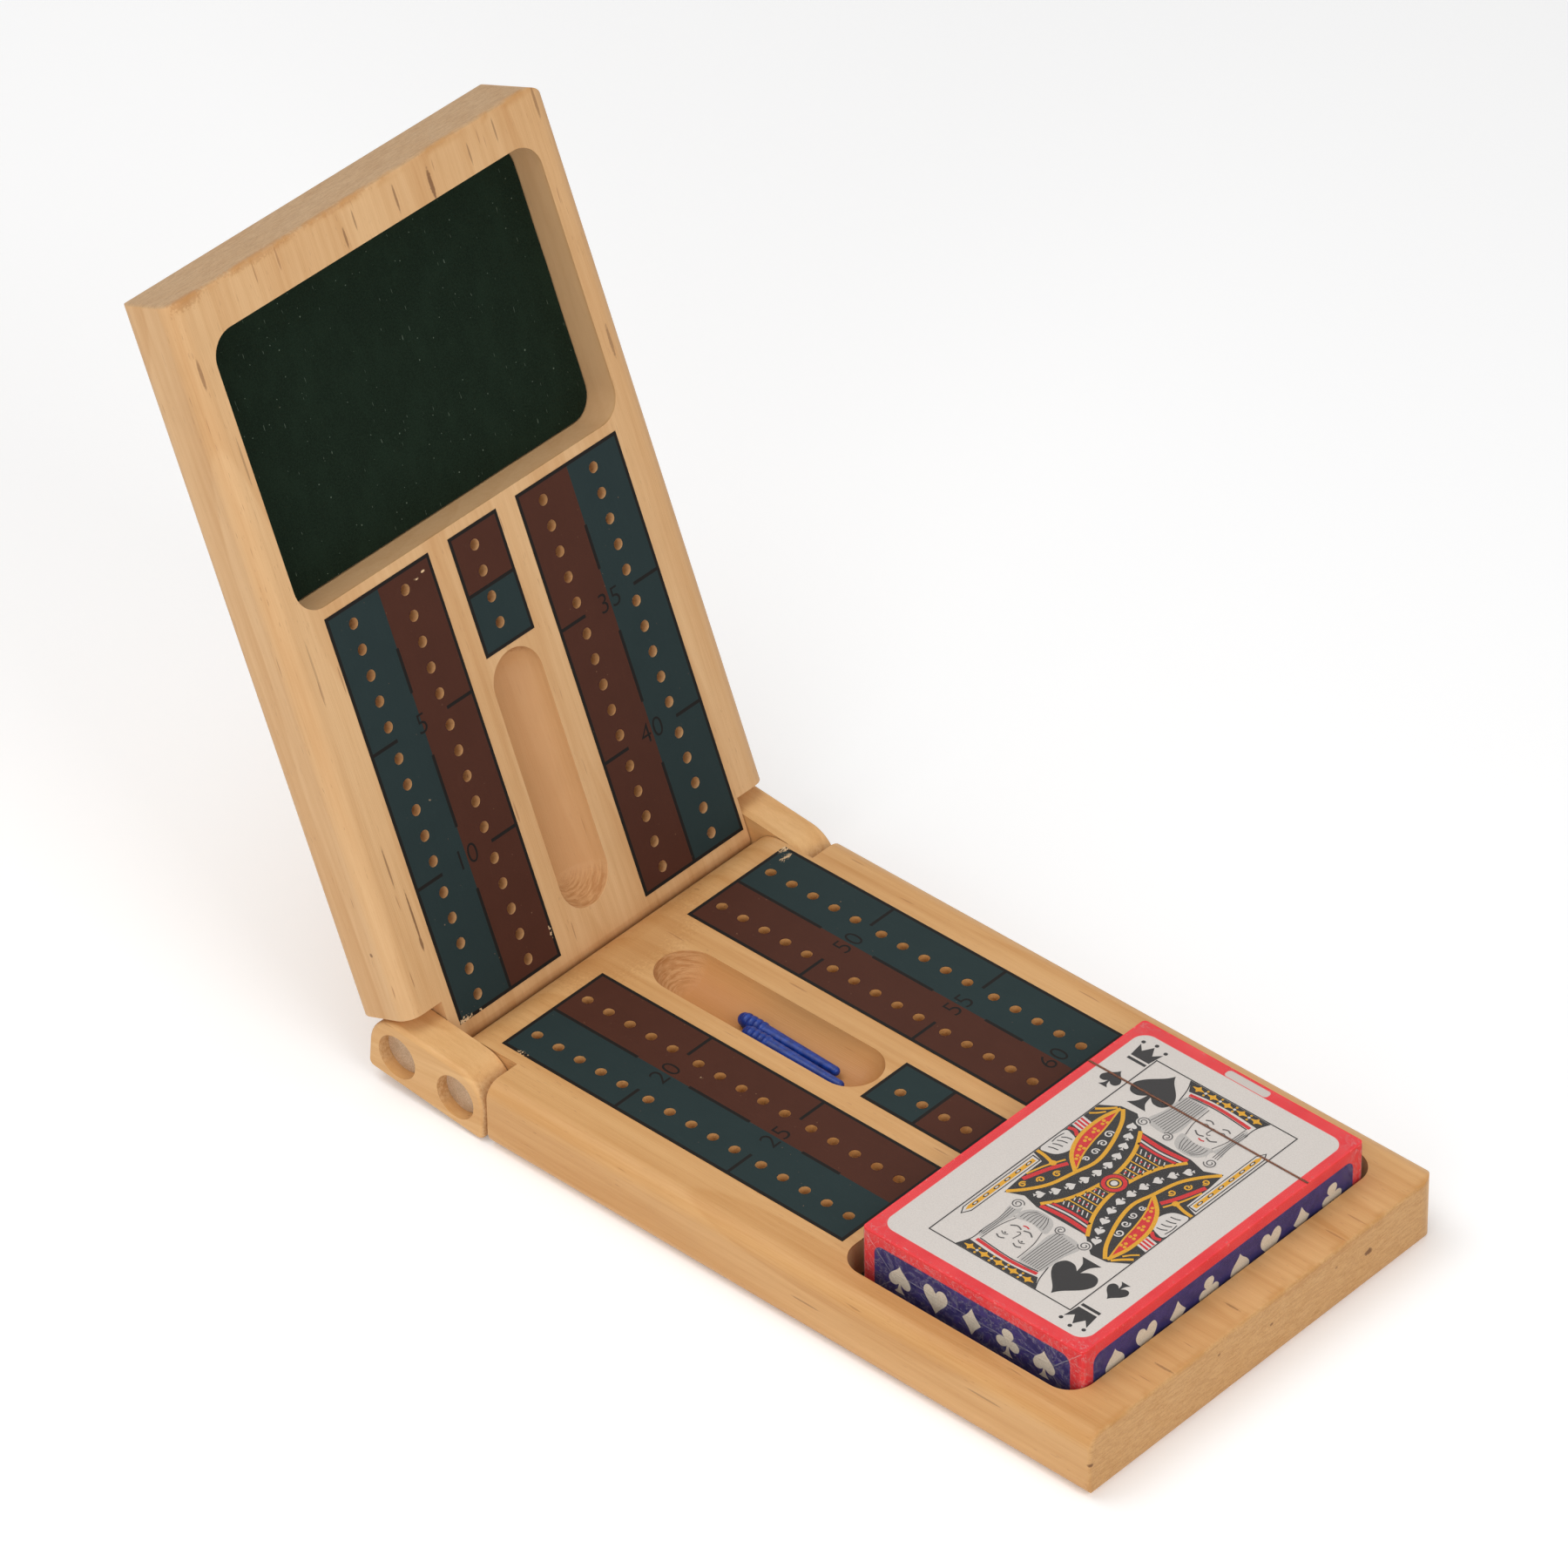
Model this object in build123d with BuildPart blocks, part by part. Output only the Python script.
from build123d import *
import math
import os

# A folding travel cribbage board: two alike wooden halves that fold shut over a pair of
# double-pivot wooden links. Each half has a lined card recess, a round-bottomed peg slot and
# two printed scoring strips. A wrapped deck and two pegs lie in the lower half.
#
# Millimetres. The origin is the centre of the lower half's underside, +Z is up and +X runs
# from the hinge to the lower half's free end. "near" is the -Y side and "far" the +Y side.

# Halves
board_thickness = 17.0
edge_round = 4.0  # long edges, both faces
end_round = 0.8  # all round the free end
end_outer_round = 3.0  # the free end's outer edge
far_corner_round = 7.0
heel_round = 3.0  # outer edge of the hinge end

# Hinge: the pivots lie as deep as the rounded hinge ends' radius
pivot_inset = 8.5  # from the hinge end and from the inner face
hinge_gap = 0.4  # between the halves, open flat or shut
open_angle = 111.4  # between the halves' inner faces as they stand
stand_gap = 0.05  # from the upper half's heel to the table
notch_width = 9.8
notch_depth = 18.0
link_side_gap = 0.3
link_height = 16.1
link_toe_round = 1.8
link_edge_round = 1.2
dowel_diameter = 10.8
dowel_seat_depth = 8.0
dowel_recess = 3.0  # below the link's outer face
dowel_glue_gap = 0.02
pivot_clearance = 0.05

# Card recess and its lining, cut to suit the wrapped deck
deck_end_gap = 0.8  # from the wrap to the recess's end wall
deck_hinge_gap = 4.24
deck_side_gap = 4.27
recess_depth = 10.6
recess_far_rim = 11.0
recess_side_rim = 7.4
recess_strip_gap = 2.5  # from the prints to the recess
recess_corner = 6.4
lining_thickness = 0.9
lining_gap = 0.2

# Peg slot, cut by a ball-nosed tool
slot_start = 16.6  # from the hinge end
slot_length = 62.7
slot_radius = 7.4
slot_depth = 6.8

# Printed scoring strips and the four-hole patch between them
print_thickness = 0.1
print_shift = 0.9  # the print sits this far off centre, towards far
strip_margin = 10.7  # from the hinge end
strip_length = 98.6
strip_width = 31.7
strip_edge_gap = 11.75  # from the strip to the half's side, before the shift
patch_length = 28.9
patch_width = 15.0
line_width = 0.8
tick_length = 8.2
number_space = 15.0  # break in the middle line at each number

# Peg holes: three groups of five in a row
peg_hole_diameter = 2.6
peg_hole_depth = 7.0
hole_pitch = 6.25
first_hole = 3.9  # from the strip's hinge end
last_hole = 4.5  # from the strip's other end
groups = 3
holes_in_group = 5
patch_holes = 4

# Wrapped deck: a carton of cards in clear film
card_width = 58.0
card_length = 88.0
stack_height = 16.8
card_side_play = 1.0  # from the cards to each wall of the carton
card_end_play = 0.75
card_top_play = 0.8
carton_wall = 0.5
deck_corner = 1.0
deck_offset = -0.4  # of its centre, along Y
deck_rest_gap = 0.02
flap_tongue = 16.0
flap_tongue_gap = 0.1
film_thickness = 0.08
tear_strip_width = 0.8
tear_strip_thickness = 0.05
tear_strip_place = 18.3  # from the deck's far end

# Pegs
peg_length = 29.0
peg_head_diameter = 3.7
peg_neck_diameter = 3.2
peg_tip_diameter = 2.2
peg_rib_length = 1.5
peg_ribs = 4
peg_rest_gap = 0.05
peg_spacing_gap = 0.35
peg_roll = 5.0  # degrees round the slot's axis, far peg
far_peg_head = 38.9  # from the hinge end
near_peg_head = 43.6

# Worked out from the sizes above
deck_width = card_width + 2 * (card_side_play + carton_wall)
deck_length = card_length + 2 * (card_end_play + carton_wall)
deck_height = stack_height + card_top_play + 2 * carton_wall
recess_length = deck_width + 2 * film_thickness + deck_end_gap + deck_hinge_gap
recess_width = deck_length + 2 * (film_thickness + deck_side_gap)
board_length = strip_margin + strip_length + recess_strip_gap + recess_length + recess_far_rim
board_width = recess_width + 2 * recess_side_rim
half_width = board_width / 2
link_pitch = 2 * pivot_inset + hinge_gap
link_thickness = notch_width - link_side_gap
pivot_height = board_thickness - pivot_inset
dowel_length = dowel_seat_depth + notch_width - dowel_recess
strip_outer = half_width - strip_edge_gap
strip_inner = strip_outer - strip_width
band_middle = (strip_inner + strip_outer) / 2
group_length = (holes_in_group - 1) * hole_pitch
group_gap = (strip_length - first_hole - last_hole - groups * group_length) / (groups - 1)
group_pitch = group_length + group_gap
strip_centre = strip_margin + strip_length / 2
patch_centre = strip_margin + strip_length - patch_length / 2
recess_centre = board_length - recess_far_rim - recess_length / 2
slot_centre = slot_start + slot_length / 2
slot_axis_height = board_thickness + slot_radius - slot_depth
turn = math.radians(open_angle)

# The upper half leans on the link until its heel stands on the table, which tilts the link
heel_drop = (
    (pivot_inset - heel_round) * math.sin(turn)
    - (pivot_height - heel_round) * math.cos(turn)
    + heel_round
)
link_tilt = math.asin((heel_drop + stand_gap - pivot_height) / link_pitch)

lower_pivot = Vector(pivot_inset - board_length / 2, 0, pivot_height)
upper_pivot = lower_pivot + Vector(-math.cos(link_tilt), 0, math.sin(link_tilt)) * link_pitch
upper_along = Vector(math.cos(turn), 0, math.sin(turn))
upper_inward = Vector(math.sin(turn), 0, -math.cos(turn))
upper_corner = upper_pivot - upper_along * pivot_inset - upper_inward * pivot_height

# A half's own frame: x from its hinge end, z from its outer face to its inner face
lower_home = Plane(origin=(-board_length / 2, 0, 0), x_dir=(1, 0, 0), z_dir=(0, 0, 1))
upper_home = Plane(origin=upper_corner, x_dir=upper_along, z_dir=upper_inward)

written = []


def finish(part, name):
    part.label = name
    export_step(part, f"parts/{name}.step")
    written.append(name)


def spot(home, x, y, z):
    return Plane(home * Location((x, y, z)))


def side_plane(home, y):
    # x along the half and y up through it, seen from the half's -y side
    return Plane(origin=home.from_local_coords((0, y, 0)), x_dir=home.x_dir, z_dir=-home.y_dir)


def hole_places(home):
    # how far each hole is from the hinge end and from the centre line, on the inner face
    rows = [(strip_inner + band_middle) / 2, (band_middle + strip_outer) / 2]
    places = []
    for group in range(groups):
        for hole in range(holes_in_group):
            x = strip_margin + first_hole + group * group_pitch + hole * hole_pitch
            for row in rows:
                places.append((x, row))
                places.append((x, -row))
    for hole in range(patch_holes):
        places.append((strip_margin + strip_length - last_hole - hole * hole_pitch, 0))
    return places


def make_board(home, name):
    end_plane = side_plane(home, -half_width)
    top = board_thickness
    with BuildPart() as board:
        with BuildSketch(end_plane):
            with BuildLine():
                Line((heel_round, 0), (board_length, 0))
                Line((board_length, 0), (board_length, top))
                Line((board_length, top), (pivot_inset, top))
                RadiusArc((0, pivot_height), (pivot_inset, top), pivot_inset)
                Line((0, pivot_height), (0, heel_round))
                RadiusArc((heel_round, 0), (0, heel_round), heel_round)
            make_face()
        extrude(amount=-board_width)

        # notches for the links, one at each side of the hinge end
        with BuildSketch(home):
            for side in (-1, 1):
                with Locations((0, side * half_width)):
                    Rectangle(2 * notch_depth, 2 * notch_width)
        extrude(amount=board_thickness, mode=Mode.SUBTRACT)

        long_edges = board.edges().filter_by(Axis(home.origin, home.x_dir))
        outer_edges = [
            e for e in long_edges if abs(home.to_local_coords(e.center()).Y) > half_width - 0.01
        ]
        fillet(outer_edges, edge_round)
        free_end = board.faces().sort_by(Axis(home.origin, home.x_dir))[-1]
        fillet(free_end.edges(), end_round)
        with BuildSketch(end_plane):
            with BuildLine():
                Line((board_length - end_outer_round, 0), (board_length - end_outer_round, -end_round))
                Line((board_length - end_outer_round, -end_round), (board_length + end_round, -end_round))
                Line((board_length + end_round, -end_round), (board_length + end_round, end_outer_round))
                Line((board_length + end_round, end_outer_round), (board_length, end_outer_round))
                CenterArc(
                    (board_length - end_outer_round, end_outer_round), end_outer_round, 0, -90
                )
            make_face()
        extrude(amount=-board_width, mode=Mode.SUBTRACT)

        # the free end's far corner is well rounded
        far = math.copysign(1, home.y_dir.Y)
        with BuildSketch(home):
            with Locations((board_length, far * half_width)):
                Rectangle(2 * far_corner_round, 2 * far_corner_round)
            with Locations((board_length - far_corner_round, far * (half_width - far_corner_round))):
                Circle(far_corner_round, mode=Mode.SUBTRACT)
        extrude(amount=board_thickness, mode=Mode.SUBTRACT)

        # seats of the pivot dowels, bored in from the notches
        with Locations(
            Plane(
                origin=home.from_local_coords((pivot_inset, notch_width - half_width, pivot_height)),
                x_dir=home.x_dir,
                z_dir=-home.y_dir,
            ),
            Plane(
                origin=home.from_local_coords((pivot_inset, half_width - notch_width, pivot_height)),
                x_dir=home.x_dir,
                z_dir=home.y_dir,
            ),
        ):
            Hole(dowel_diameter / 2 + dowel_glue_gap, dowel_seat_depth)

        with BuildSketch(spot(home, recess_centre, 0, top)):
            RectangleRounded(recess_length, recess_width, recess_corner)
        extrude(amount=-recess_depth, mode=Mode.SUBTRACT)

        slot_plane = spot(home, slot_centre, 0, slot_axis_height)
        with BuildSketch(slot_plane):
            SlotOverall(slot_length, 2 * slot_radius)
            Rectangle(
                slot_length, slot_radius, align=(Align.CENTER, Align.MIN), mode=Mode.INTERSECT
            )
        revolve(axis=Axis(slot_plane.origin, home.x_dir), mode=Mode.SUBTRACT)

        with Locations(*[spot(home, x, y, top).location for x, y in hole_places(home)]):
            Hole(peg_hole_diameter / 2, peg_hole_depth)
    finish(board.part, name)


def make_lining(home, name):
    floor = spot(home, recess_centre, 0, board_thickness - recess_depth)
    with BuildPart() as lining:
        with BuildSketch(floor):
            RectangleRounded(
                recess_length - 2 * lining_gap,
                recess_width - 2 * lining_gap,
                recess_corner - lining_gap,
            )
        extrude(amount=lining_thickness)
    finish(lining.part, name)


def make_dowel(home, hand, side, name):
    # side is -1 for near and 1 for far; hand is the way the half's own y axis runs along Y
    y = hand * side
    inner_end = home.from_local_coords(
        (pivot_inset, y * (half_width - notch_width - dowel_seat_depth), pivot_height)
    )
    with BuildPart() as dowel:
        with BuildSketch(Plane(origin=inner_end, x_dir=home.x_dir, z_dir=home.y_dir * y)):
            Circle(dowel_diameter / 2)
        extrude(amount=dowel_length)
    finish(dowel.part, name)


def tick_places():
    # halfway between one group of holes and the next
    first = first_hole + (holes_in_group - 1) * hole_pitch + group_gap / 2
    return [first + group * group_pitch for group in range(groups - 1)]


def strip_lines(centre, mode):
    # the strip's border, its broken middle line and the ticks between groups of holes
    if mode == Mode.ADD:
        with Locations((strip_centre, centre)):
            Rectangle(strip_length, strip_width)
            Rectangle(strip_length - 2 * line_width, strip_width - 2 * line_width, mode=Mode.SUBTRACT)
    starts = [line_width] + [strip_end(t) for t in tick_places()]
    ends = [t - number_space / 2 for t in tick_places()] + [strip_length - number_space]
    for start, end in zip(starts, ends):
        with Locations((strip_margin + (start + end) / 2, centre)):
            Rectangle(end - start, line_width, mode=mode)
    inside = tick_length - line_width
    for tick in tick_places():
        for side in (-1, 1):
            edge = centre + side * (strip_width / 2 - line_width - inside / 2)
            with Locations((strip_margin + tick, edge)):
                Rectangle(line_width, inside, mode=mode)


def strip_end(tick):
    return tick + number_space / 2


def punch_holes(home):
    for x, y in hole_places(home):
        with Locations((x, y)):
            Circle(peg_hole_diameter / 2, mode=Mode.SUBTRACT)


def make_strip(home, hand, side, name):
    centre = hand * (print_shift + side * band_middle)
    outward = hand * side
    face = spot(home, 0, 0, board_thickness)
    band_width = strip_width / 2 - line_width
    for colour, way in (("teal", outward), ("brown", -outward)):
        with BuildPart() as band:
            with BuildSketch(face):
                with Locations((strip_centre, centre + way * band_width / 2)):
                    Rectangle(strip_length - 2 * line_width, band_width)
                strip_lines(centre, Mode.SUBTRACT)
                punch_holes(home)
            extrude(amount=print_thickness)
        finish(band.part, f"{name}_{colour}")
    with BuildPart() as lines:
        with BuildSketch(face):
            strip_lines(centre, Mode.ADD)
        extrude(amount=print_thickness)
    finish(lines.part, f"{name}_lines")


def make_patch(home, hand, name):
    centre = hand * print_shift
    face = spot(home, 0, 0, board_thickness)
    field = (patch_length - 3 * line_width) / 2
    for colour, way in (("teal", -1), ("brown", 1)):
        with BuildPart() as band:
            with BuildSketch(face):
                with Locations((patch_centre + way * (line_width + field) / 2, centre)):
                    Rectangle(field, patch_width - 2 * line_width)
                punch_holes(home)
            extrude(amount=print_thickness)
        finish(band.part, f"{name}_{colour}")
    with BuildPart() as lines:
        with BuildSketch(face):
            with Locations((patch_centre, centre)):
                Rectangle(patch_length, patch_width)
            for way in (-1, 1):
                with Locations((patch_centre + way * (line_width + field) / 2, centre)):
                    Rectangle(field, patch_width - 2 * line_width, mode=Mode.SUBTRACT)
        extrude(amount=print_thickness)
    finish(lines.part, f"{name}_lines")


def make_link(side, name):
    # x along the link towards the lower pivot, which is at 0, and y up
    outer_face = Plane(
        origin=(lower_pivot.X, side * half_width, lower_pivot.Z),
        x_dir=(math.cos(link_tilt), 0, -math.sin(link_tilt)),
        z_dir=(0, -1, 0),
    )
    foot = pivot_inset - link_height
    back = -link_pitch - pivot_inset
    toe = link_toe_round
    with BuildPart() as link:
        with BuildSketch(outer_face):
            with BuildLine():
                Line((back + toe, foot), (pivot_inset - toe, foot))
                RadiusArc((pivot_inset, foot + toe), (pivot_inset - toe, foot), toe)
                Line((pivot_inset, foot + toe), (pivot_inset, 0))
                RadiusArc((0, pivot_inset), (pivot_inset, 0), pivot_inset)
                Line((0, pivot_inset), (-link_pitch, pivot_inset))
                RadiusArc((back, 0), (-link_pitch, pivot_inset), pivot_inset)
                Line((back, 0), (back, foot + toe))
                RadiusArc((back + toe, foot), (back, foot + toe), toe)
            make_face()
        extrude(amount=side * link_thickness)
        outside = link.faces().sort_by(Axis.Y)[0 if side < 0 else -1]
        fillet(outside.edges(), link_edge_round)
        with BuildSketch(outer_face):
            with Locations((0, 0), (-link_pitch, 0)):
                Circle(dowel_diameter / 2 + pivot_clearance)
        extrude(amount=side * link_thickness, mode=Mode.SUBTRACT)
    finish(link.part, name)


def make_deck():
    recess_end = board_length / 2 - recess_far_rim
    x = recess_end - deck_end_gap - film_thickness - deck_width / 2
    floor = board_thickness - recess_depth + lining_thickness + deck_rest_gap
    base = floor + film_thickness
    centre = Plane(origin=(x, deck_offset, base))

    # the carton, open at its far end, where its flap tucks in
    inside_height = deck_height - 2 * carton_wall
    inside_length = deck_length - 2 * carton_wall
    with BuildPart() as carton:
        with BuildSketch(centre):
            RectangleRounded(deck_width, deck_length, deck_corner)
        extrude(amount=deck_height)
        with BuildSketch(centre.offset(carton_wall)):
            with Locations((0, carton_wall)):
                Rectangle(deck_width - 2 * carton_wall, deck_length)
        extrude(amount=inside_height, mode=Mode.SUBTRACT)
    finish(carton.part, "carton")

    flap_width = deck_width - 2 * deck_corner - 2 * flap_tongue_gap
    flap_height = inside_height - 2 * flap_tongue_gap
    far_end = deck_length / 2
    with BuildPart() as flap:
        with BuildSketch(centre.offset(carton_wall + flap_tongue_gap)):
            with Locations((0, far_end - carton_wall / 2)):
                Rectangle(flap_width, carton_wall)
        extrude(amount=flap_height)
        with BuildSketch(centre.offset(carton_wall + flap_tongue_gap + flap_height - carton_wall)):
            with Locations((0, far_end - flap_tongue / 2)):
                Rectangle(flap_width, flap_tongue)
        extrude(amount=carton_wall)
    finish(flap.part, "carton_flap")

    with BuildPart() as cards:
        with BuildSketch(centre.offset(carton_wall)):
            with Locations((0, (inside_length - card_length) / 2 - carton_wall)):
                RectangleRounded(card_width, card_length, 3.0)
        extrude(amount=stack_height)
    finish(cards.part, "card_stack")

    with BuildPart() as wrap:
        with BuildSketch(centre.offset(-film_thickness)):
            RectangleRounded(
                deck_width + 2 * film_thickness,
                deck_length + 2 * film_thickness,
                deck_corner + film_thickness,
            )
        extrude(amount=deck_height + 2 * film_thickness)
        with BuildSketch(centre):
            RectangleRounded(deck_width, deck_length, deck_corner)
        extrude(amount=deck_height, mode=Mode.SUBTRACT)
    finish(wrap.part, "deck_wrap")

    with BuildPart() as tear_strip:
        with BuildSketch(centre.offset(deck_height + film_thickness)):
            with Locations((0, deck_length / 2 - tear_strip_place)):
                Rectangle(deck_width, tear_strip_width)
        extrude(amount=tear_strip_thickness)
    finish(tear_strip.part, "tear_strip")


def make_peg(roll, head, name):
    # lies along X against the slot's round wall, turned round the slot's axis by roll degrees
    reach = slot_radius - peg_head_diameter / 2 - peg_rest_gap
    angle = math.radians(roll)
    y = reach * math.sin(angle)
    z = slot_axis_height - reach * math.cos(angle)
    head_radius = peg_head_diameter / 2
    neck_radius = peg_neck_diameter / 2
    tip_radius = peg_tip_diameter / 2
    ribs_end = neck_radius + peg_ribs * peg_rib_length
    axis_plane = Plane(origin=(head - board_length / 2, y, z), x_dir=(1, 0, 0), z_dir=(0, -1, 0))
    with BuildPart() as peg:
        with BuildSketch(axis_plane):
            with BuildLine():
                Line((0, 0), (peg_length, 0))
                CenterArc((peg_length - tip_radius, 0), tip_radius, 0, 90)
                Line((peg_length - tip_radius, tip_radius), (ribs_end, neck_radius))
                for rib in range(peg_ribs):
                    start = neck_radius + rib * peg_rib_length
                    ThreePointArc(
                        (start + peg_rib_length, neck_radius),
                        (start + peg_rib_length / 2, head_radius),
                        (start, neck_radius),
                    )
                CenterArc((neck_radius, 0), neck_radius, 90, 90)
            make_face()
        revolve(axis=Axis(axis_plane.origin, (1, 0, 0)))
    finish(peg.part, name)


os.makedirs("parts", exist_ok=True)

for half_name, half_home, half_hand in (("lower", lower_home, 1), ("upper", upper_home, -1)):
    make_board(half_home, f"{half_name}_board")
    make_lining(half_home, f"{half_name}_lining")
    for side_name, way_out in (("near", -1), ("far", 1)):
        make_dowel(half_home, half_hand, way_out, f"{half_name}_dowel_{side_name}")
        make_strip(half_home, half_hand, way_out, f"{half_name}_strip_{side_name}")
    make_patch(half_home, half_hand, f"{half_name}_patch")

for side_name, way_out in (("near", -1), ("far", 1)):
    make_link(way_out, f"link_{side_name}")

make_deck()

peg_reach = slot_radius - peg_head_diameter / 2 - peg_rest_gap
peg_step = 2 * math.degrees(math.asin((peg_head_diameter + peg_spacing_gap) / 2 / peg_reach))
make_peg(peg_roll, far_peg_head, "peg_far")
make_peg(peg_roll - peg_step, near_peg_head, "peg_near")

print(len(written), "pieces, link tilt", round(math.degrees(link_tilt), 3), "degrees")
